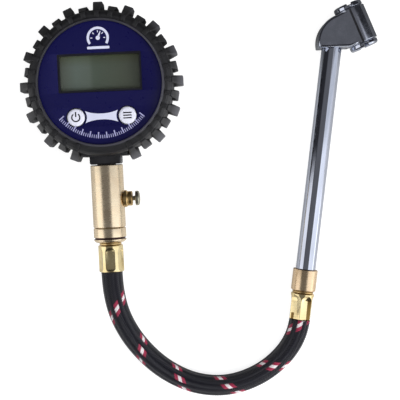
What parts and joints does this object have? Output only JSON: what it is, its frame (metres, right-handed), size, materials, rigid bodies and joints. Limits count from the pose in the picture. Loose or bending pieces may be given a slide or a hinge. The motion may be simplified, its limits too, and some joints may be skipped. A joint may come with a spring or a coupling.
{
  "type": "tire pressure gauge",
  "caption": "Round digital tyre pressure gauge in a tread-pattern rubber boot, with a side bleed valve, a short braided hose and a straight chromed chuck with ports back to back.",
  "frame": {"origin": "centre of the dial, on the plane that the gauge's back rests on", "axes": "+Z out of the dial, -Y down the stem towards the hose, +X towards the bleed button"},
  "size_m": [0.1824, 0.2038, 0.031],
  "materials": {
    "black_rubber": "moulded, matt",
    "black_plastic": "moulded, finely grained",
    "navy_film": "printed film, satin",
    "white_plastic": "moulded, finely grained",
    "clear_plastic": "clear",
    "lcd_glass": "grey-green display",
    "milky_plastic": "translucent white",
    "board_green": "solder mask",
    "cell_wrap": "printed wrap",
    "steel": "zinc plated or stainless",
    "black_metal": "black",
    "brass": "turned, satin",
    "chrome": "polished chrome plate",
    "hose_braid": "textile braid, black with red and white tracers"
  },
  "bodies": {
    "gauge_head": {"tread_boot": "black_rubber", "case_back": "black_plastic", "case_front": "black_plastic", "battery_cover": "black_plastic", "battery_cover_screw": "steel", "case_screw_1": "steel", "case_screw_2": "steel", "case_screw_3": "steel", "case_screw_4": "steel", "face_overlay": "navy_film", "lcd_window": "clear_plastic", "lcd_panel": "lcd_glass", "backlight_plate": "milky_plastic", "zebra_strip_upper": "black_rubber", "zebra_strip_lower": "black_rubber", "circuit_board": "board_green", "board_screw_1": "steel", "board_screw_2": "steel", "switch_body_on": "black_metal", "switch_body_func": "black_metal", "battery_1": "cell_wrap", "battery_2": "cell_wrap", "battery_link": "steel", "battery_contact_minus": "steel", "battery_contact_plus": "steel", "gauge_socket": "black_metal", "pressure_sensor": "steel", "sensor_seal": "black_rubber", "socket_seal": "black_rubber", "sensor_ribbon": "cell_wrap", "valve_body": "brass", "bleed_bush": "brass", "bleed_spring": "steel", "swivel_collar": "brass", "swivel_seal": "black_rubber"},
    "on_key": {"key_on": "white_plastic", "switch_plunger_on": "black_plastic"},
    "func_key": {"key_func": "white_plastic", "switch_plunger_func": "black_plastic"},
    "bleed_plunger": {"bleed_button": "brass", "bleed_seal": "black_rubber"},
    "hose_line": {"hose_nipple_gauge": "brass", "ferrule_gauge": "brass", "hose": "hose_braid", "ferrule_chuck": "brass", "hose_nipple_chuck": "brass", "coupling": "brass", "tube_washer": "black_rubber", "chuck_tube": "chrome", "chuck_head": "chrome", "port_collar_forward": "chrome", "port_collar_reverse": "chrome", "port_washer_forward": "black_rubber", "port_washer_reverse": "black_rubber", "depressor_spring_forward": "steel", "depressor_spring_reverse": "steel"},
    "forward_depressor": {"depressor_forward": "brass"},
    "reverse_depressor": {"depressor_reverse": "brass"}
  },
  "joints": [
    {"name": "on_key_press", "type": "slide", "parent": "gauge_head", "child": "on_key", "axis": [0, 0, -1], "range_m": [0, 0.0005], "stiffness_N_per_m": 900},
    {"name": "func_key_press", "type": "slide", "parent": "gauge_head", "child": "func_key", "axis": [0, 0, -1], "range_m": [0, 0.0005], "stiffness_N_per_m": 900},
    {"name": "bleed_press", "type": "slide", "parent": "gauge_head", "child": "bleed_plunger", "axis": [-1, 0, 0], "range_m": [0, 0.0013], "stiffness_N_per_m": 900, "deforming": ["bleed_spring"]},
    {"name": "hose_swivel", "type": "hinge", "parent": "gauge_head", "child": "hose_line", "pos_m": [0, -0.08, 0.0155], "axis": [0, 1, 0], "continuous": true},
    {"name": "forward_depressor_press", "type": "slide", "parent": "hose_line", "child": "forward_depressor", "axis": [-0.3551, 0.9348, 0], "range_m": [0, 0.001], "stiffness_N_per_m": 700, "deforming": ["depressor_spring_forward"]},
    {"name": "reverse_depressor_press", "type": "slide", "parent": "hose_line", "child": "reverse_depressor", "axis": [0.3551, -0.9348, 0], "range_m": [0, 0.001], "stiffness_N_per_m": 700, "deforming": ["depressor_spring_reverse"]}
  ]
}
